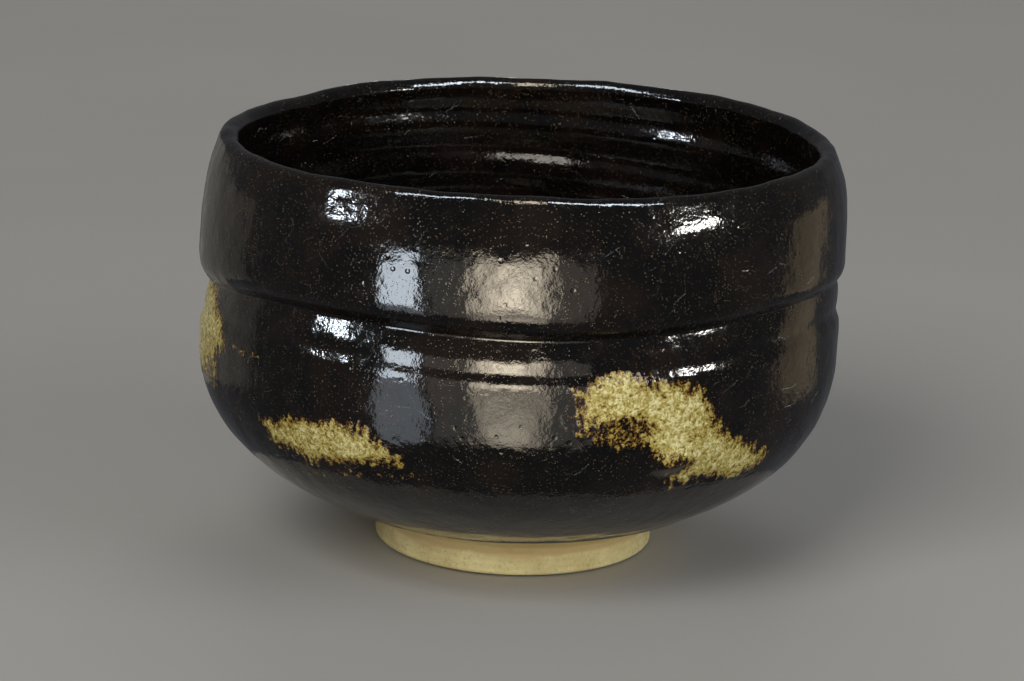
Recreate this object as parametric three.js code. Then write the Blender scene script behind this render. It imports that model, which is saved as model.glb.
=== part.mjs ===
// A matcha bowl (chawan): a thrown stoneware tea bowl on a turned foot ring, with a black glaze
// inside and out, a pressed groove round the wall, and three splashes of straw-ash glaze.
// Millimetres, +Z up. The front faces -Y, and angles go round from the front towards +X.
// The bowl stands on z = 0, and the origin is the middle of the box around it.

import * as THREE from 'three';
import { mergeVertices } from 'three/addons/utils/BufferGeometryUtils.js';

const degrees = THREE.MathUtils.degToRad;

// Overall form. The belly and the lip are set in from the wall's widest ring.
const BOWL_HEIGHT = 78.2;
const BOWL_RADIUS = 60.9;
const BELLY_INSET = 0.6;
const LIP_INSET = 4.4;
const LIP_THICKNESS = 4.4;

// Foot ring, and the bare clay between it and the glaze line.
const FOOT_RADIUS = 26.5;
const FOOT_WAIST = 0.5;
const FOOT_WIDTH = 5.2;
const FOOT_HEIGHT = 5.6;
const FOOT_EDGE_ROUND = 0.7;
const CLAY_CORNER_STEP_OUT = 1.2;
const CLAY_CORNER_STEP_UP = 0.9;
const BARE_CLAY_WIDTH = 7.6;
const BARE_CLAY_SLOPE = degrees(21);

// Layers of the wall. WALL_THICKNESS counts the clay and both glazes.
const WALL_THICKNESS = 4.6;
const FLOOR_THICKNESS = 6.2;
const GLAZE_THICKNESS = 0.9;
const FUSION_GAP = 0.15;
const OUTER_GLAZE_INSIDE_LIP = 9;

// Pressed groove, with a soft bead and a second, shallow groove under it. The drops are measured
// down from the groove's bottom, and the insets inward from the belly.
const GROOVE_HEIGHT = 50.7;
const GROOVE_DEPTH = 1.4;
const GROOVE_LIP_RISE = 3.6;
const BEAD_DROP = 3.3;
const BEAD_INSET = 0.4;
const SECOND_GROOVE_DROP = 5.6;
const SECOND_GROOVE_INSET = 0.65;
const SHOULDER_DROP = 8.1;
const SHOULDER_INSET = 0.05;
const BELLY_DROP = 13.7;

// Unevenness of the hand-thrown form.
const TRUE_ABOVE_GLAZE_LINE = 5;
const GROOVE_TILT = 4.2;
const GROOVE_TILT_ANGLE = degrees(17);
const GROOVE_WAVE = 1.4;
const GROOVE_WAVE_ANGLE = degrees(70);
const GROOVE_DEPTH_SWING = 0.8;
const GROOVE_SWING_REACH = 3.4;
const RIM_LEAN = 0.6;
const OVALITY = 0.35;
const LIP_WAVE = 0.3;

// Straw-ash splashes.
const SPLASH_THICKNESS = 0.6;
const SPLASH_EDGE_THICKNESS = 0.3;
const SPLASH_GAP = 0.3;

// Fineness of the facets.
const TURNS = 42;
const BELLY_STEPS = 11;
const WALL_STEPS = 19;
const LIP_STEPS = 6;
const INNER_WALL_STEPS = 5;
const INNER_FLOOR_STEPS = 9;
const SPLASH_COLUMNS = 8;
const SPLASH_BELLY_STEPS = 22;

// Sizes that follow from the ones above.
const bellyRadius = BOWL_RADIUS - BELLY_INSET;
const bellyHeight = GROOVE_HEIGHT - BELLY_DROP;
const lipRound = LIP_THICKNESS / 2;
const seatHeight = FOOT_HEIGHT + FUSION_GAP;
const floorHeight = seatHeight + FLOOR_THICKNESS;

const point = (radius, height) => new THREE.Vector2(radius, height);
const lipCentre = point(BOWL_RADIUS - LIP_INSET, BOWL_HEIGHT - lipRound);
const clayCorner = point(FOOT_RADIUS + CLAY_CORNER_STEP_OUT, seatHeight + CLAY_CORNER_STEP_UP);
const glazeLine = point(
  clayCorner.x + BARE_CLAY_WIDTH * Math.cos(BARE_CLAY_SLOPE),
  clayCorner.y + BARE_CLAY_WIDTH * Math.sin(BARE_CLAY_SLOPE),
);
const trueBelow = glazeLine.y + TRUE_ABOVE_GLAZE_LINE;

// ---- Outlines: runs of (radius, height) points on the even, glazed bowl ------------------------
// They go up the outside, over the lip and down the inside, with the wall on their left.

// The belly swells from the glaze line to its widest ring.
function bellyPoints(steps) {
  const spread = bellyRadius - glazeLine.x;
  const rise = bellyHeight - glazeLine.y;
  const curve = new THREE.CubicBezierCurve(
    glazeLine,
    point(glazeLine.x + 0.4 * spread, glazeLine.y + 0.14 * rise),
    point(bellyRadius, glazeLine.y + 0.43 * rise),
    point(bellyRadius, bellyHeight),
  );
  return curve.getPoints(steps);
}

// Shoulder, second groove, bead and main groove, then the wall up to the side of the lip.
function wallPoints() {
  const lipSide = point(lipCentre.x + lipRound, lipCentre.y);
  const wallFoot = GROOVE_HEIGHT + GROOVE_LIP_RISE;
  const wallRise = lipSide.y - wallFoot;
  const curve = new THREE.SplineCurve([
    point(bellyRadius, bellyHeight),
    point(bellyRadius - SHOULDER_INSET, GROOVE_HEIGHT - SHOULDER_DROP),
    point(bellyRadius - SECOND_GROOVE_INSET, GROOVE_HEIGHT - SECOND_GROOVE_DROP),
    point(bellyRadius - BEAD_INSET, GROOVE_HEIGHT - BEAD_DROP),
    point(bellyRadius - 0.65 * GROOVE_DEPTH, GROOVE_HEIGHT - 0.45 * BEAD_DROP),
    point(bellyRadius - GROOVE_DEPTH, GROOVE_HEIGHT),
    point(BOWL_RADIUS - 0.5 * GROOVE_DEPTH, GROOVE_HEIGHT + 0.55 * GROOVE_LIP_RISE),
    point(BOWL_RADIUS, wallFoot + 0.1 * wallRise),
    point(BOWL_RADIUS - 0.06 * LIP_INSET, wallFoot + 0.37 * wallRise),
    point(BOWL_RADIUS - 0.27 * LIP_INSET, wallFoot + 0.72 * wallRise),
    lipSide,
  ]);
  return curve.getPoints(WALL_STEPS);
}

// The lip is a half round over the top of the wall.
function lipPoints() {
  const curve = new THREE.EllipseCurve(lipCentre.x, lipCentre.y, lipRound, lipRound, 0, Math.PI);
  return curve.getPoints(LIP_STEPS);
}

// The inside falls from the lip to the widest part of the well, and sweeps into a dished floor.
function insidePoints() {
  const lipInside = point(lipCentre.x - lipRound, lipCentre.y);
  const wellRadius = bellyRadius - WALL_THICKNESS;
  const wellHeight = bellyHeight + 0.15 * (BOWL_HEIGHT - bellyHeight);
  const wellRise = wellHeight - floorHeight;
  const wall = new THREE.QuadraticBezierCurve(
    lipInside,
    point(wellRadius, THREE.MathUtils.lerp(wellHeight, lipInside.y, 0.5)),
    point(wellRadius, wellHeight),
  );
  const floor = new THREE.CubicBezierCurve(
    point(wellRadius, wellHeight),
    point(wellRadius, floorHeight + 0.22 * wellRise),
    point(0.6 * wellRadius, floorHeight),
    point(0, floorHeight),
  );
  return [...wall.getPoints(INNER_WALL_STEPS), ...floor.getPoints(INNER_FLOOR_STEPS)];
}

// Joins runs of points, leaving out a point that repeats the one before it.
function joinRuns(...runs) {
  const all = runs.flat();
  return all.filter((here, index) => index === 0 || here.distanceTo(all[index - 1]) > 1e-6);
}

// Adds the two edges of the seam where the outer glaze stops inside the lip.
function addSeam(run) {
  const seamHeight = BOWL_HEIGHT - OUTER_GLAZE_INSIDE_LIP;
  const index = run.findIndex((here) => here.y < seamHeight);
  const above = run[index - 1];
  const below = run[index];
  const edges = [seamHeight + FUSION_GAP / 2, seamHeight - FUSION_GAP / 2].map((height) => {
    const share = (above.y - height) / (above.y - below.y);
    return above.clone().lerp(below, share);
  });
  return { run: [...run.slice(0, index), ...edges, ...run.slice(index)], upperEdge: edges[0] };
}

// The direction square to a run at one of its points, on the run's right.
function facing(run, index) {
  const before = run[Math.max(index - 1, 0)];
  const after = run[Math.min(index + 1, run.length - 1)];
  const along = after.clone().sub(before).normalize();
  return point(along.y, -along.x);
}

// The surface a given depth under a run. A point on the axis stays on the axis.
function sinkRun(run, depth) {
  return run.map((here, index) => {
    const sunk = here.clone().addScaledVector(facing(run, index), -depth);
    return here.x === 0 ? point(0, sunk.y) : sunk;
  });
}

const outside = joinRuns(bellyPoints(BELLY_STEPS), wallPoints());
const splashRun = joinRuns(bellyPoints(SPLASH_BELLY_STEPS), wallPoints());
const inside = addSeam(insidePoints());
const glazed = joinRuns(outside, lipPoints(), inside.run);
const seamPlace = glazed.indexOf(inside.upperEdge);
const clay = sinkRun(glazed, GLAZE_THICKNESS);
const glazeBack = sinkRun(glazed, GLAZE_THICKNESS - FUSION_GAP);

// ---- Solids -----------------------------------------------------------------------------------

// The shift that throwing by hand gives a ring of the even bowl. The foot stays true, so that the
// bowl stands flat, and every layer takes the same shift, so that the layers still fit.
function thrownByHand(radius, height, angle) {
  const body = THREE.MathUtils.smoothstep(height, trueBelow, GROOVE_HEIGHT);
  const nearLip = THREE.MathUtils.smoothstep(height, GROOVE_HEIGHT, lipCentre.y);
  const tilt = GROOVE_TILT * Math.cos(angle - GROOVE_TILT_ANGLE);
  const wave = GROOVE_WAVE * Math.cos(3 * (angle - GROOVE_WAVE_ANGLE));
  const lipWave = LIP_WAVE * (Math.cos(2 * angle + 0.6) + 0.6 * Math.cos(5 * angle + 1));
  const fromGroove = (height - GROOVE_HEIGHT) / GROOVE_SWING_REACH;
  const swing = GROOVE_DEPTH_SWING * Math.sin(angle) * Math.exp(-fromGroove * fromGroove);
  const lean = RIM_LEAN * Math.sin(angle) * nearLip;
  const oval = OVALITY * Math.cos(2 * angle + 0.8);
  return {
    radius: radius + (swing + lean + oval) * body,
    height: height + (tilt + wave) * body * (1 - nearLip) + lipWave * nearLip,
  };
}

// Places a point of the even bowl on the hand-thrown one.
function placeOnBowl(radius, height, angle) {
  if (radius === 0) {
    return new THREE.Vector3(0, 0, height);
  }
  const thrown = thrownByHand(radius, height, angle);
  return new THREE.Vector3(
    thrown.radius * Math.sin(angle),
    -thrown.radius * Math.cos(angle),
    thrown.height,
  );
}

// Merges the vertices that faces share, so that the shape is one closed skin.
function closeSkin(geometry) {
  geometry.deleteAttribute('normal');
  geometry.deleteAttribute('uv');
  const merged = mergeVertices(geometry, 1e-4);
  merged.computeVertexNormals();
  return merged;
}

// A solid turned from an outline that has its material on the left, then made uneven by hand.
function throwSolid(outline) {
  const geometry = new THREE.LatheGeometry(outline, TURNS);
  const positions = geometry.attributes.position;
  for (let index = 0; index < positions.count; index += 1) {
    const ring = Math.floor(index / outline.length) % TURNS;
    const turned = outline[index % outline.length];
    const placed = placeOnBowl(turned.x, turned.y, (ring / TURNS) * 2 * Math.PI);
    positions.setXYZ(index, placed.x, placed.y, placed.z);
  }
  return closeSkin(geometry);
}

// A thin patch on the glazed outside, between two heights on the even bowl. Its side edges are
// angles, given as functions of the share of its height. Its rows follow the points of the
// outside's run, so that it hugs the grooves.
function splashSolid({ low, high, leftEdge, rightEdge }) {
  const first = splashRun.findIndex((here) => here.y >= low);
  const last = splashRun.findLastIndex((here) => here.y <= high);
  const rows = last - first;
  const slab = new THREE.BoxGeometry(1, 1, 1, SPLASH_COLUMNS, rows, 1);
  const positions = slab.attributes.position;
  for (let index = 0; index < positions.count; index += 1) {
    const across = positions.getX(index) + 0.5;
    const up = positions.getY(index) + 0.5;
    const out = positions.getZ(index) + 0.5;
    const place = first + Math.round(up * rows);
    const crown = Math.sin(Math.PI * across) * Math.sin(Math.PI * up);
    const thickness = THREE.MathUtils.lerp(SPLASH_EDGE_THICKNESS, SPLASH_THICKNESS, crown);
    const lift = SPLASH_GAP + out * thickness;
    const surface = splashRun[place].clone().addScaledVector(facing(splashRun, place), lift);
    const angle = THREE.MathUtils.lerp(leftEdge(up), rightEdge(up), across);
    const placed = placeOnBowl(surface.x, surface.y, angle);
    positions.setXYZ(index, placed.x, placed.y, placed.z);
  }
  return closeSkin(slab);
}

// ---- Materials ----------------------------------------------------------------------------------

function bareClay() {
  return new THREE.MeshStandardMaterial({ color: 0xc8c096, roughness: 0.85, metalness: 0 });
}

function outerBlackGlaze() {
  return new THREE.MeshStandardMaterial({ color: 0x120e0d, roughness: 0.12, metalness: 0 });
}

function innerBlackGlaze() {
  return new THREE.MeshStandardMaterial({ color: 0x0e0c0c, roughness: 0.18, metalness: 0 });
}

function strawAshGlaze() {
  return new THREE.MeshStandardMaterial({ color: 0xbdb278, roughness: 0.45, metalness: 0 });
}

// ---- Sub-parts ----------------------------------------------------------------------------------

// Thrown wall and floor. The middle of the underside is a flat seat for the foot ring.
function clayBody() {
  const underside = [point(0, seatHeight), point(FOOT_RADIUS, seatHeight), clayCorner];
  return new THREE.Mesh(throwSolid(joinRuns(underside, clay)), bareClay());
}

// Turned ring with a softened bottom edge and a slight waist.
function footRing() {
  const innerRadius = FOOT_RADIUS - FOOT_WIDTH;
  const outerEdge = new THREE.QuadraticBezierCurve(
    point(FOOT_RADIUS - FOOT_EDGE_ROUND, 0),
    point(FOOT_RADIUS, 0),
    point(FOOT_RADIUS, FOOT_EDGE_ROUND),
  );
  const outline = [
    point(innerRadius, FOOT_EDGE_ROUND),
    point(innerRadius + FOOT_EDGE_ROUND, 0),
    ...outerEdge.getPoints(3),
    point(FOOT_RADIUS - FOOT_WAIST, 0.5 * FOOT_HEIGHT),
    point(FOOT_RADIUS - FOOT_WAIST, 0.75 * FOOT_HEIGHT),
    point(FOOT_RADIUS, FOOT_HEIGHT),
    point(innerRadius, FOOT_HEIGHT),
    point(innerRadius, FOOT_EDGE_ROUND),
  ];
  return new THREE.Mesh(throwSolid(outline), bareClay());
}

// Glaze from the glaze line up the outside, over the lip and a little way down the inside.
function outerGlazeCoat() {
  const face = glazed.slice(0, seamPlace + 1);
  const back = glazeBack.slice(0, seamPlace + 1).reverse();
  return new THREE.Mesh(throwSolid([...face, ...back, face[0]]), outerBlackGlaze());
}

// Glaze that lines the well, from the seam under the lip down to the middle of the floor.
function innerGlazeCoat() {
  const face = glazed.slice(seamPlace + 1);
  const back = glazeBack.slice(seamPlace + 1).reverse();
  return new THREE.Mesh(throwSolid([...back, ...face]), innerBlackGlaze());
}

// A run of straw ash that starts as a point in the groove and widens down over the belly.
function ashSplashLeft() {
  const splash = splashSolid({
    low: bellyHeight - 3,
    high: GROOVE_HEIGHT,
    leftEdge: (up) => degrees(-82 - 26 * Math.sin(Math.PI * up)),
    rightEdge: (up) => degrees(-74 + 10 * Math.sin(Math.PI * up)),
  });
  return new THREE.Mesh(splash, strawAshGlaze());
}

// A long, low splash where the belly starts to turn under.
function ashSplashFrontLeft() {
  const splash = splashSolid({
    low: bellyHeight - 11,
    high: bellyHeight - 2,
    leftEdge: (up) => degrees(-41 - 9 * Math.sin(Math.PI * up)),
    rightEdge: (up) => degrees(-29 + 9 * Math.sin(Math.PI * up)),
  });
  return new THREE.Mesh(splash, strawAshGlaze());
}

// The largest splash. It hangs from the bead and leans to the right as it falls.
function ashSplashFrontRight() {
  const splash = splashSolid({
    low: bellyHeight - 11,
    high: GROOVE_HEIGHT - BEAD_DROP,
    leftEdge: (up) => degrees(28 - 18 * THREE.MathUtils.smoothstep(up, 0.2, 0.6)),
    rightEdge: (up) => degrees(47 - 23 * up),
  });
  return new THREE.Mesh(splash, strawAshGlaze());
}

// ---- The bowl -----------------------------------------------------------------------------------

const pieces = {
  clay_body: clayBody(),
  foot_ring: footRing(),
  inner_glaze_coat: innerGlazeCoat(),
  outer_glaze_coat: outerGlazeCoat(),
  ash_splash_left: ashSplashLeft(),
  ash_splash_front_left: ashSplashFrontLeft(),
  ash_splash_front_right: ashSplashFrontRight(),
};

const bowl = new THREE.Group();
for (const [name, mesh] of Object.entries(pieces)) {
  mesh.name = name;
  bowl.add(mesh);
}

// The hand-thrown wall isn't centred on the foot, so the whole bowl moves over the origin.
const middle = new THREE.Box3().setFromObject(bowl).getCenter(new THREE.Vector3());
bowl.position.set(-middle.x, -middle.y, 0);

export default bowl;
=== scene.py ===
"""Matcha bowl in stoneware: black tenmoku glaze, straw ash splashes and a bare clay foot.

Lengths in this file are in millimetres until a mesh is made, and then in metres.
Angles round the bowl start at the front (-Y) and grow towards +X.
"""

import math

import bpy
import numpy as np
from mathutils import Matrix, Vector


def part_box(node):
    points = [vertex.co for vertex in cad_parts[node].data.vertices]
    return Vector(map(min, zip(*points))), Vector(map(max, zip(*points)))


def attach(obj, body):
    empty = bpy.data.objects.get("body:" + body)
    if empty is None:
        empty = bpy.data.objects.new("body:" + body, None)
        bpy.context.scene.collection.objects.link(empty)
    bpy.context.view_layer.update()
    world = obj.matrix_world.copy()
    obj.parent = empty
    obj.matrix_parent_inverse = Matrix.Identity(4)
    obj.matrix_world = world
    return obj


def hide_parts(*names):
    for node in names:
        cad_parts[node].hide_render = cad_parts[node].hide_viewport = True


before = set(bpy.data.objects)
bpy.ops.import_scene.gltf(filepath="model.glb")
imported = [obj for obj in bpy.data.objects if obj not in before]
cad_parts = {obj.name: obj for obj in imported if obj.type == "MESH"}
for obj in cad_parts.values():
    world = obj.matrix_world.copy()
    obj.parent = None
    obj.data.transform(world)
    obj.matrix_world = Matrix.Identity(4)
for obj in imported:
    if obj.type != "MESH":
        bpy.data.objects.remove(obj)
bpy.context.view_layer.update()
foot_low, foot_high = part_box("foot_ring")

MM = 0.001
AXIS = np.array([foot_low.x + foot_high.x, foot_low.y + foot_high.y]) / 2 / MM

# ---------------------------------------------------------------- outline of the pot

BOWL_RADIUS = 60.9
BELLY_RADIUS = 60.3
BELLY_HEIGHT = 37.0
LIP_ROUND = 2.1
LIP_CENTRE = (56.1, 76.1)
GROOVE_HEIGHT = 50.7
GROOVE_DEPTH = 1.4
CLAY_CORNER = (27.7, 6.65)
GLAZE_LINE = (34.8, 9.37)
WELL_RADIUS = 55.7
WELL_HEIGHT = 43.18
FLOOR_HEIGHT = 11.95
SEAT_HEIGHT = 5.75
GLAZE_THICKNESS = 0.7
TRUE_BELOW = 14.37
SEAM_BELOW_LIP = 9.0

# The pot's slight unevenness, in millimetres of movement
GROOVE_TILT = 4.2
GROOVE_WAVE = 1.4
GROOVE_SWING = 0.55
GROOVE_REACH = 3.4
LIP_WAVE = 0.3
LIP_LEAN = 0.6
WALL_OVAL = 0.35

# Radius at which angles round the bowl are laid out flat
FLAT_RADIUS = 60


def bezier(count, *corners):
    """Points of a quadratic or cubic Bezier curve: each corner weighted by its Bernstein polynomial."""
    t = np.linspace(0, 1, count)[:, None]
    order = len(corners) - 1
    return sum(
        math.comb(order, k) * t**k * (1 - t) ** (order - k) * np.array(corner, float)
        for k, corner in enumerate(corners)
    )


def throwing_line(count, corners):
    """Points of the smooth line through the corners: a uniform Catmull-Rom spline, ends repeated."""
    p = np.array([corners[0], *corners, corners[-1]], float)
    place = np.linspace(0, len(corners) - 1, count)
    k = np.minimum(place.astype(int), len(corners) - 2)
    t = (place - k)[:, None]
    a, b, c, d = p[k], p[k + 1], p[k + 2], p[k + 3]
    return (
        b
        + 0.5 * (c - a) * t
        + (a - 2.5 * b + 2 * c - 0.5 * d) * t**2
        + (1.5 * (b - c) + 0.5 * (d - a)) * t**3
    )


def pot_outline():
    """Bare clay strip, belly, wall, round lip, inner wall and floor, joined from foot to floor centre."""
    spread = BELLY_RADIUS - GLAZE_LINE[0]
    rise = BELLY_HEIGHT - GLAZE_LINE[1]
    bare = bezier(60, CLAY_CORNER, np.add(CLAY_CORNER, GLAZE_LINE) / 2, GLAZE_LINE)
    belly = bezier(
        400,
        GLAZE_LINE,
        (GLAZE_LINE[0] + 0.4 * spread, GLAZE_LINE[1] + 0.14 * rise),
        (BELLY_RADIUS, GLAZE_LINE[1] + 0.43 * rise),
        (BELLY_RADIUS, BELLY_HEIGHT),
    )
    lip_start = math.radians(38)
    lip_side = (
        LIP_CENTRE[0] + LIP_ROUND * math.cos(lip_start),
        LIP_CENTRE[1] + LIP_ROUND * math.sin(lip_start),
    )
    wall = throwing_line(
        500,
        [
            (BELLY_RADIUS, BELLY_HEIGHT),
            (BELLY_RADIUS + 0.02, GROOVE_HEIGHT - 10.2),
            (BELLY_RADIUS + 0.02, GROOVE_HEIGHT - 8.4),
            (BELLY_RADIUS - 0.06, GROOVE_HEIGHT - 7.2),
            (BELLY_RADIUS - 0.42, GROOVE_HEIGHT - 6.2),
            (BELLY_RADIUS - 0.74, GROOVE_HEIGHT - 5.2),
            (BELLY_RADIUS - 0.78, GROOVE_HEIGHT - 3.9),
            (BELLY_RADIUS - 0.92, GROOVE_HEIGHT - 3.0),
            (BELLY_RADIUS - 1.16, GROOVE_HEIGHT - 2.0),
            (BELLY_RADIUS - GROOVE_DEPTH - 0.04, GROOVE_HEIGHT - 0.9),
            (BELLY_RADIUS - GROOVE_DEPTH - 0.36, GROOVE_HEIGHT + 0.12),
            (BELLY_RADIUS - GROOVE_DEPTH - 0.34, GROOVE_HEIGHT + 0.22),
            (BELLY_RADIUS - 1.16, GROOVE_HEIGHT + 0.95),
            (BELLY_RADIUS - 0.48, GROOVE_HEIGHT + 1.8),
            (BELLY_RADIUS + 0.12, GROOVE_HEIGHT + 2.9),
            (BOWL_RADIUS - 0.12, GROOVE_HEIGHT + 4.2),
            (BOWL_RADIUS, GROOVE_HEIGHT + 6.2),
            (BOWL_RADIUS - 0.12, LIP_CENTRE[1] - 14.6),
            (BOWL_RADIUS - 0.50, LIP_CENTRE[1] - 9.1),
            (BOWL_RADIUS - 1.12, LIP_CENTRE[1] - 4.8),
            (BOWL_RADIUS - 2.05, LIP_CENTRE[1] - 1.7),
            (BOWL_RADIUS - 2.65, LIP_CENTRE[1] - 0.1),
            lip_side,
        ],
    )
    turn = np.linspace(lip_start, math.pi, 120)
    lip = np.stack(
        [LIP_CENTRE[0] + LIP_ROUND * np.cos(turn), LIP_CENTRE[1] + LIP_ROUND * np.sin(turn)], 1
    )
    lip_inside = (LIP_CENTRE[0] - LIP_ROUND, LIP_CENTRE[1])
    inner_wall = bezier(
        200, lip_inside, (WELL_RADIUS, (LIP_CENTRE[1] + WELL_HEIGHT) / 2), (WELL_RADIUS, WELL_HEIGHT)
    )
    floor = bezier(
        500,
        (WELL_RADIUS, WELL_HEIGHT),
        (WELL_RADIUS, FLOOR_HEIGHT + 0.22 * (WELL_HEIGHT - FLOOR_HEIGHT)),
        (0.6 * WELL_RADIUS, FLOOR_HEIGHT),
        (0, FLOOR_HEIGHT),
    )
    parts = [bare, belly, wall, lip, inner_wall, floor]
    line = np.concatenate([parts[0]] + [p[1:] for p in parts[1:]])
    run = np.concatenate([[0], np.cumsum(np.hypot(*np.diff(line, axis=0).T))])
    ends = np.cumsum([len(p) - 1 for p in parts])
    return line, run - run[ends[0]], run[ends] - run[ends[0]]


LINE, LINE_RUN, ENDS = pot_outline()
EVEN_RUN = np.arange(LINE_RUN[0], LINE_RUN[-1], 0.05)
EVEN = np.stack([np.interp(EVEN_RUN, LINE_RUN, LINE[:, k]) for k in (0, 1)], 1)
SOFT = np.ones(9) / 9
EVEN[4:-4] = np.stack([np.convolve(EVEN[:, k], SOFT, "valid") for k in (0, 1)], 1)
SLOPE = np.gradient(EVEN, axis=0)
SLOPE /= np.hypot(*SLOPE.T)[:, None]
BELLY_END, WALL_END, LIP_END, RUN_END = ENDS[1], ENDS[2], ENDS[3], ENDS[5]
SEAM_RUN = LIP_END + SEAM_BELOW_LIP
GROOVE_FROM, GROOVE_TO = BELLY_END + 5, BELLY_END + 22


def smooth_step(value, low, high):
    t = np.clip((value - low) / (high - low), 0, 1)
    return t * t * (3 - 2 * t)


def hump(value, centre, reach):
    return np.exp(-(((value - centre) / reach) ** 2))


def thrown_by_hand(radius, height, angle):
    """The pot's slight unevenness: a tilted, wavy groove, a wall a little oval and a lip that undulates."""
    body = smooth_step(height, TRUE_BELOW, GROOVE_HEIGHT)
    near_lip = smooth_step(height, GROOVE_HEIGHT, LIP_CENTRE[1])
    tilt = GROOVE_TILT * np.cos(angle - math.radians(17))
    wave = GROOVE_WAVE * np.cos(3 * (angle - math.radians(70)))
    lip_wave = LIP_WAVE * (np.cos(2 * angle + 0.6) + 0.6 * np.cos(5 * angle + 1))
    swing = GROOVE_SWING * np.sin(angle) - GROOVE_SWING * np.cos(2 * angle)
    swing = swing * hump(height, GROOVE_HEIGHT, GROOVE_REACH)
    lean = LIP_LEAN * np.sin(angle) * near_lip
    oval = WALL_OVAL * np.cos(2 * angle + 0.8)
    wide = radius + (swing + lean + oval) * body
    tall = height + (tilt + wave) * body * (1 - near_lip) + lip_wave * near_lip
    return wide, tall


def on_pot(run, angle, lift=0.0):
    """Points at a distance run along the outline from the glaze line, turned by angle and lifted off it."""
    run = np.clip(run, EVEN_RUN[0], EVEN_RUN[-1])
    radius, height = (np.interp(run, EVEN_RUN, EVEN[:, k]) for k in (0, 1))
    along, up = (np.interp(run, EVEN_RUN, SLOPE[:, k]) for k in (0, 1))
    radius, height = thrown_by_hand(radius + lift * up, height - lift * along, angle)
    radius = np.maximum(radius, 0)
    return np.stack([radius * np.sin(angle), -radius * np.cos(angle), height], -1)


def ripples(points, wavelength, waves, seed):
    """Even bumpiness: many plane waves of nearly one wavelength in seeded random directions, added up.

    The sum is divided by the root of their number, so most of it lies between -1 and 1.
    """
    chance = np.random.default_rng(seed)
    way = chance.normal(size=(waves, 3))
    way /= np.linalg.norm(way, axis=1)[:, None]
    way *= 2 * math.pi / (wavelength * chance.uniform(0.75, 1.35, waves))[:, None]
    shift = chance.uniform(0, 2 * math.pi, waves)
    total = np.zeros(points.shape[:-1])
    for k in range(waves):
        total += np.sin(points @ way[k] + shift[k])
    return total / math.sqrt(waves)


# ---------------------------------------------------------------- meshes from grids


def mesh_piece(name, points, faces, node, material, values=None):
    """Makes the mesh from points in millimetres about the pot's axis, smooth shaded, on the root body."""
    place = points.reshape(-1, 3) + np.array([AXIS[0], AXIS[1], 0.0])
    mesh = bpy.data.meshes.new(name)
    mesh.from_pydata((place * MM).tolist(), [], faces)
    mesh.polygons.foreach_set("use_smooth", np.ones(len(mesh.polygons), bool))
    for label, value in (values or {}).items():
        layer = mesh.attributes.new(label, "FLOAT", "POINT")
        layer.data.foreach_set("value", np.asarray(value, np.float32).ravel())
    mesh.update()
    mesh.materials.append(material)
    piece = bpy.data.objects.new(name, mesh)
    bpy.context.scene.collection.objects.link(piece)
    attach(piece, "root")
    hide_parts(node)
    return piece


def ring_faces(rows, columns, closed, poles):
    """Quads of a turned grid whose columns wrap round.

    Its rows close on themselves, or end in two points on the axis.
    """
    last = rows if closed else rows - 1
    j, i = np.meshgrid(np.arange(last), np.arange(columns), indexing="ij")
    up, on = (j + 1) % rows, (i + 1) % columns
    quads = np.stack([j * columns + i, j * columns + on, up * columns + on, up * columns + i], -1)
    faces = quads.reshape(-1, 4).tolist()
    if poles:
        first, second = rows * columns, rows * columns + 1
        i = np.arange(columns)
        on = (i + 1) % columns
        top = (rows - 1) * columns
        faces += np.stack([np.full(columns, first), on, i], 1).tolist()
        faces += np.stack([top + i, top + on, np.full(columns, second)], 1).tolist()
    return faces


def turned_piece(name, points, poles, node, material):
    """A closed piece turned round the axis, from its grid of points and its two pole heights, if any."""
    rows, columns = points.shape[:2]
    faces = ring_faces(rows, columns, poles is None, poles is not None)
    flat = points.reshape(-1, 3)
    if poles is not None:
        flat = np.concatenate([flat, [[0, 0, poles[0]], [0, 0, poles[1]]]])
    return mesh_piece(name, flat, faces, node, material)


def scab_piece(name, front, back, node, material, thickness):
    """A closed thin sheet: its front grid, its back grid, and the four edges between them."""
    rows, columns = front.shape[:2]
    j, i = np.meshgrid(np.arange(rows - 1), np.arange(columns - 1), indexing="ij")
    low = j * columns + i
    quads = np.stack([low, low + 1, low + columns + 1, low + columns], -1).reshape(-1, 4)
    behind = rows * columns
    edge = np.concatenate(
        [
            np.arange(columns - 1),
            np.arange(rows - 1) * columns + columns - 1,
            (rows - 1) * columns + np.arange(columns - 1, 0, -1),
            np.arange(rows - 1, 0, -1) * columns,
        ]
    )
    on = np.roll(edge, -1)
    sides = np.stack([edge + behind, on + behind, on, edge], 1)
    faces = quads.tolist() + (quads[:, ::-1] + behind).tolist() + sides.tolist()
    flat = np.concatenate([front.reshape(-1, 3), back.reshape(-1, 3)])
    values = {"thickness": np.concatenate([thickness.ravel(), np.zeros(behind)])}
    return mesh_piece(name, flat, faces, node, material, values)


# ---------------------------------------------------------------- materials


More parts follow.
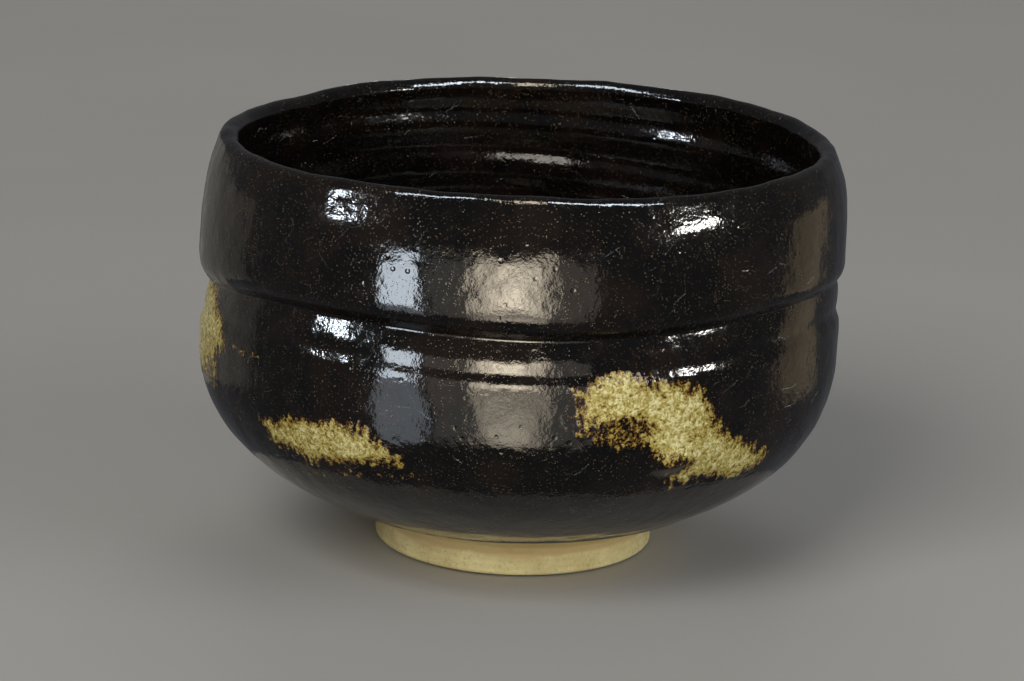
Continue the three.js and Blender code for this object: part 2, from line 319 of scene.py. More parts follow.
class Look:
    """A material and short ways to add its nodes."""

    def __init__(self, name):
        self.material = bpy.data.materials.new(name)
        self.material.use_nodes = True
        self.tree = self.material.node_tree
        self.shader = self.tree.nodes["Principled BSDF"]
        self.place = self.tree.nodes.new("ShaderNodeTexCoord").outputs["Object"]

    def set(self, node, socket, value):
        if isinstance(value, bpy.types.NodeSocket):
            self.tree.links.new(value, node.inputs[socket])
        else:
            node.inputs[socket].default_value = value

    def stretched(self, x, y, z):
        node = self.tree.nodes.new("ShaderNodeVectorMath")
        node.operation = "MULTIPLY"
        self.set(node, 0, self.place)
        self.set(node, 1, (x, y, z))
        return node.outputs[0]

    def noise(self, size_mm, detail=2.0, rough=0.5, place=None):
        node = self.tree.nodes.new("ShaderNodeTexNoise")
        self.set(node, "Vector", place or self.place)
        self.set(node, "Scale", 1000.0 / size_mm)
        self.set(node, "Detail", detail)
        self.set(node, "Roughness", rough)
        return node.outputs["Fac"]

    def seeds(self, size_mm):
        """Distance to the nearest of many scattered seeds, and a number drawn by lot for that seed."""
        node = self.tree.nodes.new("ShaderNodeTexVoronoi")
        self.set(node, "Vector", self.place)
        self.set(node, "Scale", 1000.0 / size_mm)
        return node.outputs["Distance"], node.outputs["Color"]

    def ramp(self, value, low, high, start=0.0, end=1.0):
        node = self.tree.nodes.new("ShaderNodeMapRange")
        node.interpolation_type = "SMOOTHSTEP"
        self.set(node, "Value", value)
        self.set(node, "From Min", low)
        self.set(node, "From Max", high)
        self.set(node, "To Min", start)
        self.set(node, "To Max", end)
        return node.outputs["Result"]

    def math(self, operation, a, b=0.0):
        node = self.tree.nodes.new("ShaderNodeMath")
        node.operation = operation
        self.set(node, 0, a)
        self.set(node, 1, b)
        return node.outputs[0]

    def mix(self, share, first, second):
        node = self.tree.nodes.new("ShaderNodeMix")
        node.data_type = "RGBA"
        self.set(node, 0, share)
        for socket, colour in ((6, first), (7, second)):
            is_link = isinstance(colour, bpy.types.NodeSocket)
            self.set(node, socket, colour if is_link else (*colour, 1.0))
        return node.outputs[2]

    def bands(self, value, stops):
        node = self.tree.nodes.new("ShaderNodeValToRGB")
        ramp = node.color_ramp
        while len(ramp.elements) < len(stops):
            ramp.elements.new(0.5)
        for element, (place, colour) in zip(ramp.elements, stops):
            element.position = place
            element.color = (*colour, 1.0)
        self.set(node, 0, value)
        return node.outputs["Color"]

    def attribute(self, name):
        node = self.tree.nodes.new("ShaderNodeAttribute")
        node.attribute_name = name
        return node.outputs["Fac"]

    def height(self):
        node = self.tree.nodes.new("ShaderNodeSeparateXYZ")
        self.set(node, 0, self.place)
        return node.outputs["Z"]

    def bump(self, height, depth_mm, under=None):
        node = self.tree.nodes.new("ShaderNodeBump")
        self.set(node, "Height", height)
        self.set(node, "Distance", depth_mm * MM)
        self.set(node, "Strength", 1.0)
        if under is not None:
            self.set(node, "Normal", under)
        return node.outputs["Normal"]

    def finish(self, **sockets):
        names = {"colour": "Base Color", "roughness": "Roughness", "normal": "Normal"}
        for key, value in sockets.items():
            self.set(self.shader, names.get(key, key), value)
        return self.material


def glaze_skin(look, mottle, speck_share):
    """Colour, roughness and normal of iron black glaze.

    It is brown where it thins, with gold specks and a pebbled, pinholed gloss.
    """
    cloud = look.noise(14, 3.0, 0.55)
    fine_cloud = look.noise(2.2, 3.0, 0.6)
    streak = look.noise(3.0, 2.0, 0.5, look.stretched(1.0, 1.0, 0.16))
    blackish = look.mix(look.ramp(cloud, 0.42, 0.66), (0.0026, 0.0020, 0.0019), mottle)
    blackish = look.mix(look.ramp(fine_cloud, 0.5, 0.8, 0.0, 0.6), blackish, (0.013, 0.0075, 0.0045))
    near, lot = look.seeds(0.36)
    chosen = look.ramp(lot, 0.36, 0.9, 0.0, speck_share)
    patchy = look.ramp(look.noise(4.0, 2.0, 0.6), 0.35, 0.65, 0.25, 1.0)
    specks = look.math("MULTIPLY", look.ramp(near, 0.10, 0.30, 1.0, 0.0), chosen)
    specks = look.math("MULTIPLY", specks, patchy)
    colour = look.mix(specks, blackish, (0.30, 0.225, 0.12))
    roughness = look.ramp(fine_cloud, 0.35, 0.75, 0.07, 0.15)
    pit_near, pit_lot = look.seeds(3.3)
    pits = look.math(
        "MULTIPLY", look.ramp(pit_near, 0.05, 0.17), look.ramp(pit_lot, 0.3, 0.5, 0.2, 1.0)
    )
    normal = look.bump(look.noise(6.0, 2.0, 0.5), 0.15)
    normal = look.bump(streak, 0.035, normal)
    normal = look.bump(look.noise(1.7, 3.0, 0.6), 0.085, normal)
    normal = look.bump(look.noise(0.55, 1.0, 0.5), 0.017, normal)
    normal = look.bump(pits, 0.05, normal)
    normal = look.bump(specks, 0.03, normal)
    return colour, roughness, normal


def black_glaze(name, mottle, speck_share):
    """The plain black glaze: its skin and nothing else."""
    look = Look(name)
    colour, roughness, normal = glaze_skin(look, mottle, speck_share)
    return look.finish(colour=colour, roughness=roughness, normal=normal, IOR=1.56)


def ash_glaze(name, mottle, speck_share):
    """Straw ash that ran on the black glaze: khaki where thick, amber where thin, black where it ends."""
    look = Look(name)
    black, gloss, skin = glaze_skin(look, mottle, speck_share)
    thick = look.attribute("thickness")
    grain = look.noise(1.0, 3.0, 0.7)
    fine = look.noise(0.42, 2.0, 0.65)
    patch = look.noise(6.0, 2.0, 0.5)
    uneven = look.math("MULTIPLY", look.math("SUBTRACT", grain, 0.5), 1.6)
    uneven = look.math("ADD", uneven, look.math("MULTIPLY", look.math("SUBTRACT", fine, 0.5), 1.25))
    uneven = look.math("ADD", uneven, look.math("MULTIPLY", look.math("SUBTRACT", patch, 0.5), 0.35))
    level = look.math("ADD", thick, look.math("MULTIPLY", uneven, look.ramp(thick, 0.03, 0.3)))
    colour = look.bands(
        level,
        [
            (0.20, (0.008, 0.004, 0.002)),
            (0.29, (0.105, 0.045, 0.006)),
            (0.40, (0.200, 0.125, 0.018)),
            (0.54, (0.330, 0.255, 0.048)),
            (0.72, (0.450, 0.375, 0.098)),
            (0.95, (0.740, 0.690, 0.360)),
        ],
    )
    is_ash = look.ramp(level, 0.16, 0.24)
    colour = look.mix(is_ash, black, colour)
    dull = look.ramp(level, 0.2, 0.7, 0.10, 0.36)
    spread = look.math("ADD", look.math("MULTIPLY", look.math("SUBTRACT", dull, gloss), is_ash), gloss)
    normal = look.bump(look.math("MULTIPLY", uneven, look.ramp(thick, 0.1, 0.5)), 0.16, skin)
    return look.finish(colour=colour, roughness=spread, normal=normal, IOR=1.54)


def bare_clay(name, pale, deep, grit_mm, smooth_and_shaded_above_mm):
    """Unglazed buff stoneware: gritty, marked by turning lines, with melted glints of sand, glossy and also
    painted near white as glints.

    Above a height its grit is smoothed, and it is painted a darker tan there as shade.
    """
    look = Look(name)
    wide = look.noise(11, 3.0, 0.55)
    grit = look.noise(grit_mm, 3.0, 0.65)
    lines = look.noise(2.4, 2.0, 0.6, look.stretched(0.25, 0.25, 2.2))
    sand = look.noise(0.5, 1.0, 0.5)
    colour = look.mix(look.ramp(wide, 0.35, 0.7), pale, deep)
    colour = look.mix(look.ramp(grit, 0.52, 0.75, 0.0, 0.5), colour, tuple(0.45 * c for c in deep))
    colour = look.mix(look.ramp(lines, 0.5, 0.8, 0.0, 0.25), colour, (0.62, 0.54, 0.36))
    # Sand grains: glossy, and painted near white, partly their own pale colour and partly painted glint.
    colour = look.mix(look.ramp(sand, 0.68, 0.75, 0.0, 0.6), colour, (0.88, 0.86, 0.74))
    # Painted shade: above a wavering height the clay is mixed most of the way to a darker tan, where the
    # belly shades it; its grit bump is also weakened there.
    level = look.math("ADD", look.height(), look.math("MULTIPLY", look.noise(7.0), 0.0022))
    smooth_and_shaded = look.ramp(level, (smooth_and_shaded_above_mm + 0.8) * MM, (smooth_and_shaded_above_mm + 1.5) * MM)
    colour = look.mix(look.math("MULTIPLY", smooth_and_shaded, 0.7), colour, (0.60, 0.44, 0.21))
    roughness = look.ramp(sand, 0.66, 0.76, 0.74, 0.12)
    normal = look.bump(lines, 0.12)
    normal = look.bump(look.math("MULTIPLY", grit, look.ramp(smooth_and_shaded, 0.0, 1.0, 1.0, 0.25)), 0.2, normal)
    return look.finish(colour=colour, roughness=roughness, normal=normal)


OUTSIDE_BROWN = (0.0100, 0.0062, 0.0045)
INSIDE_BROWN = (0.0110, 0.0066, 0.0056)
SPECKS = 0.9
INSIDE_SPECKS = 0.6
outer_black = black_glaze("tenmoku_outside", OUTSIDE_BROWN, SPECKS)
inner_black = black_glaze("tenmoku_inside", INSIDE_BROWN, INSIDE_SPECKS)
straw_ash = ash_glaze("straw_ash_runs", OUTSIDE_BROWN, SPECKS)
# The wall's clay, seen only on the down-facing bare strip, is painted darker than the foot's clay: painted
# shade.
shaded_buff_clay = bare_clay("buff_stoneware_shaded", (0.66, 0.54, 0.31), (0.50, 0.39, 0.20), 0.8, 3.6)
foot_clay = bare_clay("turned_foot_stoneware", (0.80, 0.71, 0.36), (0.62, 0.51, 0.22), 0.7, 3.6)


# ---------------------------------------------------------------- glaze coats

COLUMNS = 424
TURN = np.arange(COLUMNS) * 2 * math.pi / COLUMNS


def turned_from_front(angle):
    return (angle + math.pi) % (2 * math.pi) - math.pi


def glaze_relief(run, angle):
    """How far the glaze stands off the outline.

    The sum of a long swell, orange peel, one dent, one blister, waves on the lip and rings inside.
    """
    place = on_pot(run, angle)
    height = place[..., 2]
    side = turned_from_front(angle)
    relief = 0.06 * ripples(place, 19, 24, 3)
    outside = smooth_step(run, LIP_END, WALL_END)
    relief += (0.022 + 0.010 * outside) * ripples(place, 6.5, 40, 4)
    relief += (0.010 + 0.005 * outside) * ripples(place, 3.6, 60, 5)
    across_dent = (side - math.radians(-19)) * FLAT_RADIUS
    dent = ((across_dent / 5.2) ** 2 + ((height - 39) / 3.9) ** 2) * (run < WALL_END)
    relief += np.where(run < WALL_END, -0.3 * np.exp(-(dent**1.5)), 0)
    across_blister = (side - math.radians(27)) * 58
    blister = np.exp(-((across_blister / 4.2) ** 2) - ((height - 31.2) / 2.0) ** 2)
    relief += np.where(run < BELLY_END + 4, 1.4 * blister, 0)
    crest = np.sin(7 * angle + 0.5) + 0.8 * np.sin(13 * angle + 2.0) + 0.6 * np.sin(29 * angle)
    relief += 0.09 * crest * hump(run, (WALL_END + LIP_END) / 2, 3.5)
    inside = smooth_step(run, LIP_END + 0.5, LIP_END + 5)
    coil = 2 * math.pi * (run - LIP_END - 5.6) / 7.7 + angle - math.pi
    rings = np.sin(coil) + 0.12 * np.sin(2.3 * coil + 2 * angle)
    middle = smooth_step(run, RUN_END, RUN_END - 14)
    strength = 0.18 + 0.15 * smooth_step(run, LIP_END + 34, LIP_END + 16) + 0.14 * hump(run, LIP_END + 7, 6)
    relief += strength * rings * inside * middle
    return relief


def glaze_line_run(angle):
    """Where the outer glaze stops: it hangs lower on the left than on the right, and wavers."""
    waver = 0.55 * np.sin(3 * angle + 1.1) + 0.4 * np.sin(7 * angle + 0.4) + 0.22 * np.sin(16 * angle)
    return 1.7 * np.sin(angle) + waver + 0.3


def outer_glaze_surface(row_run, angle):
    """The outer coat from the wavering glaze line to the seam inside the lip, with a fat lower edge."""
    start = glaze_line_run(angle)
    run = row_run + start * np.exp(-((row_run / 7.0) ** 2))
    edge = row_run
    fat_edge = 0.32 * np.exp(-(((edge - 1.1) / 1.3) ** 2)) - 0.35 * np.exp(-((edge / 0.42) ** 2))
    sink = -0.1 * np.maximum(run - SEAM_RUN, 0) ** 2
    return run, glaze_relief(run, angle) * smooth_step(edge, 0, 3) + fat_edge + sink


def stepped(*stretches):
    """Run values of the rows: even steps inside each stretch of (start, end, count)."""
    parts = [np.linspace(a, b, n, endpoint=False) for a, b, n in stretches]
    return np.concatenate([*parts, [stretches[-1][1]]])


outer_rows = stepped(
    (0, 2.4, 9),
    (2.4, BELLY_END, 54),
    (BELLY_END, BELLY_END + 6, 11),
    (BELLY_END + 6, GROOVE_TO, 56),
    (GROOVE_TO, WALL_END, 28),
    (WALL_END, LIP_END, 22),
    (LIP_END, SEAM_RUN + 1.4, 14),
)
row, turn = np.meshgrid(outer_rows, TURN, indexing="ij")
run, lift = outer_glaze_surface(row, turn)
front = on_pot(run, turn, lift)
behind_rows = stepped(
    (SEAM_RUN + 1.4, LIP_END, 2),
    (LIP_END, WALL_END, 6),
    (WALL_END, GROOVE_TO, 3),
    (GROOVE_TO, GROOVE_FROM, 20),
    (GROOVE_FROM, 2.5, 7),
)
row, turn = np.meshgrid(behind_rows, TURN, indexing="ij")
back = on_pot(row, turn, -GLAZE_THICKNESS)
turned_piece(
    "outer_glaze", np.concatenate([front, back]), None, "outer_glaze_coat", outer_black
)

inner_back_rows = stepped((RUN_END - 1.5, LIP_END + 20, 14), (LIP_END + 20, SEAM_RUN - 1.4, 4))
row, turn = np.meshgrid(inner_back_rows, TURN, indexing="ij")
back = on_pot(row, turn, -GLAZE_THICKNESS)
inner_rows = stepped((SEAM_RUN - 1.4, LIP_END + 34, 50), (LIP_END + 34, RUN_END - 0.6, 110))
row, turn = np.meshgrid(inner_rows, TURN, indexing="ij")
sink = -0.1 * np.maximum(SEAM_RUN - row, 0) ** 2
front = on_pot(row, turn, glaze_relief(row, turn) + sink)
inner_points = np.concatenate([back, front])
inner_glaze = turned_piece(
    "inner_glaze",
    inner_points,
    (inner_points[0, :, 2].mean(), inner_points[-1, :, 2].mean()),
    "inner_glaze_coat",
    inner_black,
)

inside_pieces = bpy.data.collections.new("inside_pieces")
inside_pieces.objects.link(inner_glaze)
all_but_inside = bpy.data.collections.new("all_but_inside")
all_but_inside.objects.link(inner_glaze)
all_but_inside.collection_objects[0].light_linking.link_state = "EXCLUDE"

# ---------------------------------------------------------------- clay

CLAY_COLUMNS = 360
CLAY_TURN = np.arange(CLAY_COLUMNS) * 2 * math.pi / CLAY_COLUMNS
BELOW_GLAZE = GLAZE_THICKNESS + 0.06


def clay_surface():
    """The clay wall: a dished underside with a trimming spiral, the bare strip and the hidden face.

    The dish is a shallow parabola, and the spiral is a sine of the radius less the angle.
    """
    radius = np.linspace(0.6, 26.4, 90)[:, None]
    angle = CLAY_TURN[None, :]
    spiral = 0.16 * np.sin(2 * math.pi * radius / 3.4 - angle) * smooth_step(radius, 1.0, 4.0)
    dish = 0.5 * (1 - (radius / 26.4) ** 2) + 0.25 * hump(radius, 0, 3.0)
    centre = np.stack(
        [
            radius * np.sin(angle),
            -radius * np.cos(angle),
            SEAT_HEIGHT + dish * 0.6 + spiral * 0.5 + 0.1,
        ],
        -1,
    )
    strip_rows = stepped((EVEN_RUN[0], 4.6, 44))
    row, turn = np.meshgrid(strip_rows, CLAY_TURN, indexing="ij")
    turning = 0.07 * np.sin(2 * math.pi * row / 1.9 + turn) + 0.05 * ripples(on_pot(row, turn), 5, 30, 11)
    under = row - glaze_line_run(turn)
    strip = on_pot(row, turn, turning - BELOW_GLAZE * smooth_step(under, 0.3, 2.0))
    hidden_rows = stepped(
        (5.2, GROOVE_FROM, 18),
        (GROOVE_FROM, GROOVE_TO, 20),
        (GROOVE_TO, WALL_END, 7),
        (WALL_END, LIP_END, 8),
        (LIP_END, RUN_END - 1.5, 30),
    )
    row, turn = np.meshgrid(hidden_rows, CLAY_TURN, indexing="ij")
    hidden = on_pot(row, turn, -BELOW_GLAZE)
    return np.concatenate([centre, strip, hidden])


clay_points = clay_surface()
turned_piece(
    "stoneware_wall",
    clay_points,
    (clay_points[0, :, 2].mean(), clay_points[-1, :, 2].mean()),
    "clay_body",
    shaded_buff_clay,
)


def foot_section():
    """Half section of the foot: the fillet up to the bare strip, its hidden top, walls and round edges."""
    fillet = bezier(26, (26.15, 3.7), (26.25, 5.95), (30.4, 7.62))
    into_clay = np.array([(30.5, 7.9), (27.0, 7.3), (22.4, 6.6)])
    inner = bezier(14, (22.2, 6.25), (21.45, 5.6), (21.35, 4.1))
    inner_wall = np.linspace((21.33, 3.9), (21.3, 0.8), 12)
    inner_edge = bezier(8, (21.32, 0.7), (21.4, 0.0), (22.1, 0.0))
    sole = np.linspace((22.4, 0.0), (25.5, 0.0), 12)
    outer_edge = bezier(9, (25.7, 0.0), (26.42, 0.0), (26.46, 0.75))
    outer_wall = np.linspace((26.45, 0.95), (26.16, 3.6), 14)
    return np.concatenate(
        [fillet, into_clay, inner, inner_wall, inner_edge, sole, outer_edge, outer_wall]
    )


def foot_surface():
    """The foot turned round the axis: fine grain on every face and faint turning lines on its wall."""
    section = foot_section()
    angle = CLAY_TURN[None, :]
    radius = np.repeat(section[:, :1], CLAY_COLUMNS, 1)
    height = np.repeat(section[:, 1:], CLAY_COLUMNS, 1)
    place = np.stack([radius * np.sin(angle), -radius * np.cos(angle), height], -1)
    grain = 0.05 * ripples(place, 2.4, 50, 21) + 0.05 * ripples(place, 6, 30, 22)
    lines = 0.05 * np.sin(2 * math.pi * height / 1.5 + angle)
    off_floor = smooth_step(height, 0.0, 1.2)
    outward = np.where(radius > 23.8, 1.0, -1.0) * smooth_step(7.5 - height, 0.0, 1.5)
    radius = radius + (grain + lines) * outward * off_floor
    sole = np.where(height < 0.01, 0.04 + 0.03 * ripples(place, 3, 30, 23), 0)
    height = height + np.clip(sole, 0, None)
    return np.stack([radius * np.sin(angle), -radius * np.cos(angle), height], -1)


turned_piece("turned_foot", foot_surface(), None, "foot_ring", foot_clay)

# ---------------------------------------------------------------- ash splashes


def run_at_height(height, angle):
    """The run along the outside at which the pot reaches that height, at that angle."""
    runs = np.linspace(0, WALL_END, 800)
    return np.interp(height, on_pot(runs, np.full(800, angle))[:, 2], runs)


def spread_flat(corners):
    """Corners given as (degrees round the bowl, height), laid out flat as (along the belly, run)."""
    flat = [
        (math.radians(a) * FLAT_RADIUS, run_at_height(h, math.radians(a))) for a, h in corners
    ]
    return np.array(flat)


def depth_inside(across, run, corners):
    """Distance in from the outline of a closed patch: positive inside it and negative outside."""
    flat = spread_flat(corners)
    nearest = np.full(across.shape, 1e9)
    inside = np.zeros(across.shape, bool)
    for (ax, ay), (bx, by) in zip(flat, np.roll(flat, -1, 0)):
        dx, dy = bx - ax, by - ay
        t = np.clip(((across - ax) * dx + (run - ay) * dy) / (dx * dx + dy * dy + 1e-9), 0, 1)
        nearest = np.minimum(nearest, np.hypot(across - ax - t * dx, run - ay - t * dy))
        crosses = (ay > run) != (by > run)
        where = ax + (run - ay) * dx / (dy if abs(dy) > 1e-9 else 1e-9)
        inside ^= crosses & (across < where)
    return np.where(inside, nearest, -nearest)


def distance_to_line(across, run, corners):
    """Distance to an open line given as (degrees round the bowl, height)."""
    flat = spread_flat(corners)
    nearest = np.full(across.shape, 1e9)
    for (ax, ay), (bx, by) in zip(flat[:-1], flat[1:]):
        dx, dy = bx - ax, by - ay
        t = np.clip(((across - ax) * dx + (run - ay) * dy) / (dx * dx + dy * dy), 0, 1)
        nearest = np.minimum(nearest, np.hypot(across - ax - t * dx, run - ay - t * dy))
    return nearest


def hairs(across, run, lean, fineness, seed):
    """Fine fringe: ripples squeezed across the flow and drawn out along it; the flow leans by that slope."""
    flow = np.stack([(across - lean * run) / fineness, run / 5.0, 0 * run], -1)
    return ripples(flow, 1.0, 40, seed)


def splash_piece(name, node, reach, heights, patches, fringe_lean, seed, thin_parts=(), step=0.22):
    """A splash of ash: a sheet on the glaze, proud inside its ragged patches and sunk outside them."""
    columns = int(math.radians(reach[1] - reach[0]) * FLAT_RADIUS / step)
    middle = math.radians(sum(reach) / 2)
    low, high = run_at_height(heights[0], middle), run_at_height(heights[1], middle)
    rows = int((high - low) / step)
    angle = np.linspace(math.radians(reach[0]), math.radians(reach[1]), columns)[None, :]
    run = np.linspace(low, high, rows)[:, None]
    angle, run = np.broadcast_arrays(angle, run)
    across = angle * FLAT_RADIUS
    body = np.full(across.shape, -1e9)
    for corners in patches:
        body = np.maximum(body, depth_inside(across, run, corners))
    flat = np.stack([across, run, np.zeros_like(run)], -1)
    ragged = 0.42 * ripples(flat, 2.8, 40, seed) + 0.34 * ripples(flat, 1.3, 40, seed + 1)
    fringe = 0.45 * hairs(across, run, fringe_lean, 0.9, seed + 2)
    depth = body + ragged + fringe * (body < 1.5)
    thickness = np.clip(0.30 + 0.24 * depth, 0, 0.62 + 0.03 * np.clip(depth, 0, 5))
    spread_out = body
    for amount, mask, reach_out in [part(across, run, seed) for part in thin_parts]:
        thickness = thickness * (1 - mask) + amount * mask
        spread_out = np.maximum(spread_out, reach_out)
    grains = ripples(flat, 1.2, 60, seed + 4)
    covered = smooth_step(thickness, 0.1, 0.6)
    proud = (0.13 + 0.035 * grains) * covered
    lift = -0.12 + 0.15 * smooth_step(spread_out, -4.2, -1.2)
    edge = np.minimum(
        np.minimum(run - low, high - run), np.minimum(across - across[0, 0], across[0, -1] - across)
    )
    hem = smooth_step(edge, 0.0, 1.6)
    lift = -0.16 + (lift + proud + 0.16) * hem
    relief = glaze_relief(run, angle)
    front = on_pot(run, angle, relief + lift)
    back = on_pot(run, angle, relief - 0.42)
    return scab_piece(name, front, back, node, straw_ash, thickness * hem)


def amber_band(corners, reach, amount, density):
    """A thin amber run along a line, broken into specks."""

    def part(across, run, seed):
        flat = np.stack([across, run, np.zeros_like(run)], -1)
        broken = ripples(flat, 1.6, 40, seed + 9)
        away = distance_to_line(across, run, corners)
        mask = smooth_step(density + 0.9 * broken - away / reach, 0.0, 0.6)
        return amount, mask, reach - away

    return part


def thin_zone(centre, spread, amount, strength):
    """A stretch where the ash lies thin and speckled, so that black shows through."""

    def part(across, run, seed):
        x, y = spread_flat([centre])[0]
        flat = np.stack([across, run, np.zeros_like(run)], -1)
        gaps = ripples(flat, 1.5, 50, seed + 12)
        near = np.exp(-(((across - x) / spread[0]) ** 2) - (((run - y) / spread[1]) ** 2))
        mask = smooth_step(near * strength + 0.3 * gaps * near, 0.2, 0.85)
        return amount, mask * 0.999, np.full(run.shape, -1e9)

    return part


right_patch = [
    (10, 45), (13.7, 47.5), (15.8, 48.4), (18.1, 48.4), (20.7, 47.6), (22.4, 46.5), (28.9, 45),
    (31.5, 44.4), (34, 41), (36, 37), (40.4, 33.8), (46.7, 30.3), (50.4, 28.9), (50.3, 27.2),
    (44.6, 25.6), (34.9, 27.2), (29.2, 26.5), (26.5, 30.0), (22.9, 34.9), (14, 35.9), (9.1, 40.6),
    (11.2, 42.9),
]
front_left_patch = [
    (-50, 32.3), (-43.9, 33.6), (-39.6, 34.9), (-32.9, 35.4), (-27.9, 36), (-25.4, 35.7),
    (-23.3, 33.1), (-20.1, 31.7), (-19.9, 30.3), (-22.8, 29.8), (-31, 28.5), (-39.5, 26.4),
    (-42.6, 28.4), (-48.9, 28.3), (-48.4, 30.5),
]
left_patch = [
    (-76.9, 51), (-71.3, 50.5), (-67.8, 48.1), (-65, 46), (-61.4, 42.9), (-66.4, 40.9),
    (-67.0, 35.4), (-72, 33.5), (-80, 34), (-89, 35.5), (-99, 38), (-107, 42.5), (-104, 46.5),
    (-94, 49.5), (-85, 51),
]

splash_piece(
    "right_splash", "ash_splash_front_right", (5.5, 53.5), (23.5, 50.0), [right_patch], -0.25, 101,
    [thin_zone((17.5, 38.0), (7.5, 3.0), 0.24, 1.0), thin_zone((28.5, 30.5), (4.0, 2.2), 0.14, 1.0)],
)
splash_piece(
    "front_left_splash", "ash_splash_front_left", (-54, -13), (19.0, 38.5), [front_left_patch], 0.22, 131,
    [amber_band([(-49, 22), (-38, 24.3), (-27, 26.4), (-17, 27.7)], 1.2, 0.27, 0.1)],
)
splash_piece(
    "left_splash", "ash_splash_left", (-111, -48), (30.0, 54.5), [left_patch], 0.1, 161,
    [
        amber_band([(-58.8, 44.3), (-56, 43.5), (-50.3, 43.8)], 0.45, 0.29, 0.9),
        thin_zone((-70, 35.5), (6, 4), 0.26, 0.9),
    ],
    step=0.25,
)

# ---------------------------------------------------------------- floor, light and camera


def floor_and_air():
    """A pale floor in two rings, the outer one left out of reflections, and faint even air round it."""
    look = Look("pale_floor")
    cloud = look.noise(180, 3.0, 0.5)
    colour = look.mix(cloud, (0.40, 0.395, 0.38), (0.46, 0.455, 0.44))
    look.shader.inputs["Specular IOR Level"].default_value = 0.0
    look.finish(colour=colour, roughness=0.9)
    inner, outer, floor_drop = 62.0, 3000.0, 0.3
    turn = np.linspace(0, 2 * math.pi, 96, endpoint=False)
    for name, radii in (("floor_under_bowl", (0.001, inner)), ("floor", (inner, outer))):
        radius = np.array(radii)[:, None]
        place = np.stack([radius * np.sin(turn), -radius * np.cos(turn), 0 * radius * turn - floor_drop], -1)
        mesh = bpy.data.meshes.new(name)
        mesh.from_pydata((place.reshape(-1, 3) * MM).tolist(), [], ring_faces(2, 96, False, False))
        mesh.flip_normals()
        mesh.materials.append(look.material)
        floor = bpy.data.objects.new(name, mesh)
        floor.visible_glossy = name != "floor"
        bpy.context.scene.collection.objects.link(floor)
    world = bpy.data.worlds.new("studio_air")
    world.use_nodes = True
    world.node_tree.nodes["Background"].inputs["Color"].default_value = (0.88, 0.92, 1.0, 1.0)
    world.node_tree.nodes["Background"].inputs["Strength"].default_value = 0.09
    bpy.context.scene.world = world


def panel(name, place, aim, size, colour, radiance, gloss_only=True):
    """A soft rectangle of light at a place, facing a point, with the same brightness all over."""
    lamp = bpy.data.lights.new(name, "AREA")
    lamp.shape = "RECTANGLE"
    lamp.size, lamp.size_y = size[0] * MM, size[1] * MM
    lamp.color = colour
    lamp.energy = radiance * math.pi * lamp.size * lamp.size_y
    thing = bpy.data.objects.new(name, lamp)
    bpy.context.scene.collection.objects.link(thing)
    spot = Vector((place[0] + AXIS[0], place[1] + AXIS[1], place[2])) * MM
    goal = Vector((aim[0] + AXIS[0], aim[1] + AXIS[1], aim[2])) * MM
    thing.location = spot
    thing.rotation_euler = (goal - spot).to_track_quat("-Z", "Y").to_euler()
    thing.visible_camera = False
    if gloss_only:
        thing.visible_diffuse = False
    else:
        thing.visible_glossy = False
    return thing


WARM = (1.0, 0.87, 0.66)
COOL = (0.80, 0.90, 1.0)
TAN = (1.0, 0.77, 0.45)

floor_and_air()
for wide, tall, strength in ((50, 41, 3.6), (40, 34, 2.6), (28, 25, 3.6), (15, 14, 4.6)):
    panel(f"warm_window_{wide}", (-4, -127 - wide / 50, 50), (-4, 0, 50), (wide, tall), WARM, strength)
for wide, tall, strength in ((48, 40, 2.0), (34, 28, 1.2), (18, 16, 1.6)):
    panel(f"warm_foot_{wide}", (-4, -128 - wide / 50, 8), (-4, 0, 8), (wide, tall), WARM, strength)
for wide, strength in ((106, 0.55), (82, 0.5)):
    panel(f"warm_surround_{wide}", (-7, -131, 30), (-7, 0, 30), (wide, 80), (1.0, 0.93, 0.82), strength)
for wide, tall, strength in ((18, 36, 11.5), (11, 26, 10.0)):
    panel(f"cool_window_{wide}", (-64, -104, 49), (-20, -56, 49), (wide, tall), COOL, strength)
panel("cool_foot", (-64, -104.5, 14), (-20, -56, 14), (23, 32), COOL, 1.6)
left_lamp = panel("left_lamp", (-400, -197, 192), (-31, -48, 73), (74, 24), COOL, 70.0)
right_lamp = panel("right_lamp", (385, -220, 192), (30, -52, 74), (104, 22), (1.0, 0.97, 0.92), 70.0)
panel("right_wall", (143, 18, 40), (52, -30, 40), (56, 72), TAN, 0.34)
panel("left_wall", (-118, 40, 40), (-52, -25, 40), (110, 76), (1.0, 0.90, 0.72), 0.14)
panel("high_left", (-270, -210, 600), (0, 0, 77), (110, 400), COOL, 18.0)
panel("high_front", (10, -330, 600), (0, 0, 77), (110, 400), WARM, 10.0)
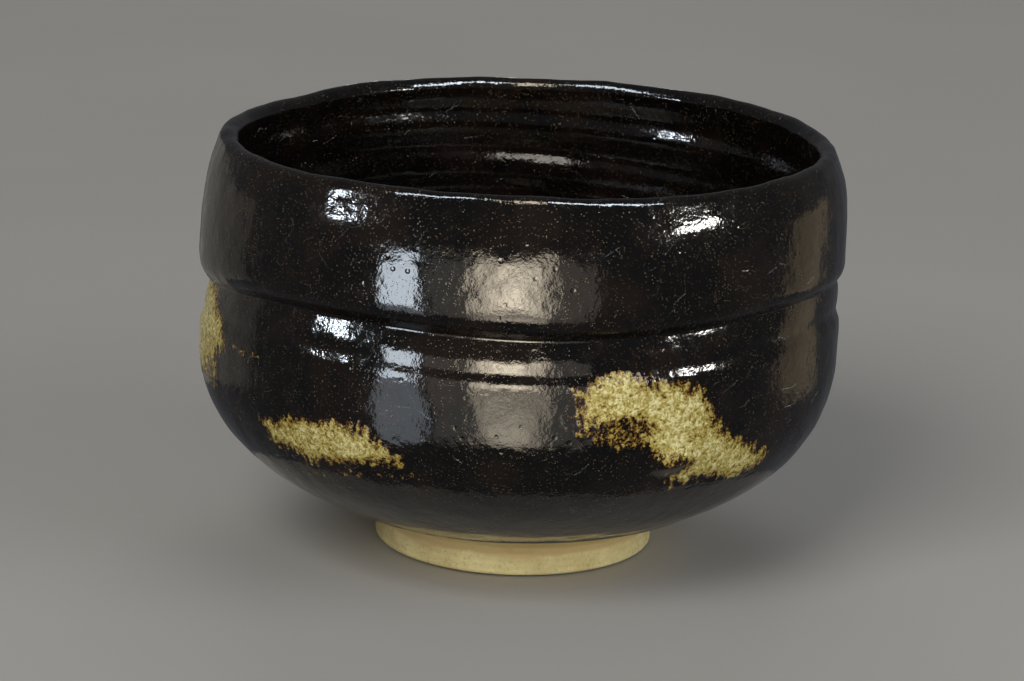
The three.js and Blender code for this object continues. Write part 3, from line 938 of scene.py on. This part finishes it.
panel("high_right", (270, -230, 600), (0, 0, 77), (130, 400), COOL, 23.0)
panel("back_warm_window", (14, 128, 36), (14, 0, 36), (44, 70), WARM, 5.0)
panel("back_cool_window", (-34, 126, 36), (-30, 0, 36), (16, 66), COOL, 7.0)
inside_glow = panel("inside_glow", (5, -500, 225), (0, 55, 68), (280, 210), (1.0, 0.93, 0.84), 4.6)
inside_glow.light_linking.receiver_collection = inside_pieces
left_lamp.light_linking.receiver_collection = all_but_inside
right_lamp.light_linking.receiver_collection = all_but_inside
panel("soft_key", (-500, -900, 900), (0, 0, 30), (700, 700), (1.0, 0.96, 0.9), 6.0, gloss_only=False)
panel("soft_fill", (900, -500, 500), (0, 0, 30), (800, 800), (0.95, 0.97, 1.0), 2.2, gloss_only=False)
panel("soft_low", (60, -900, 110), (0, 0, 10), (700, 200), (1.0, 0.95, 0.85), 5.2, gloss_only=False)
panel("soft_back", (0, 1000, 900), (0, 0, 30), (900, 700), (1.0, 0.98, 0.95), 1.8, gloss_only=False)


def set_camera():
    """The camera stands in front, looks down on the bowl by 15 degrees, and is rolled by 2 degrees."""
    pitch, yaw, roll = 0.2617, -0.0022, 0.0324
    right = Vector((math.cos(yaw), -math.sin(yaw), 0))
    ahead = Vector((math.sin(yaw) * math.cos(pitch), math.cos(yaw) * math.cos(pitch), -math.sin(pitch)))
    up = Vector((math.sin(yaw) * math.sin(pitch), math.cos(yaw) * math.sin(pitch), math.cos(pitch)))
    across = right * math.cos(roll) + up * math.sin(roll)
    upward = up * math.cos(roll) - right * math.sin(roll)
    data = bpy.data.cameras.new("camera")
    data.lens = 114.9
    data.sensor_width = 36.0
    data.clip_start, data.clip_end = 0.01, 20.0
    camera = bpy.data.objects.new("camera", data)
    bpy.context.scene.collection.objects.link(camera)
    turned = Matrix((across, upward, -ahead)).transposed().to_4x4()
    camera.matrix_world = (
        Matrix.Translation(Vector((AXIS[0], AXIS[1] - 600, 198.77)) * MM) @ turned
    )
    bpy.context.scene.camera = camera


set_camera()
bpy.context.scene.view_settings.view_transform = "Standard"
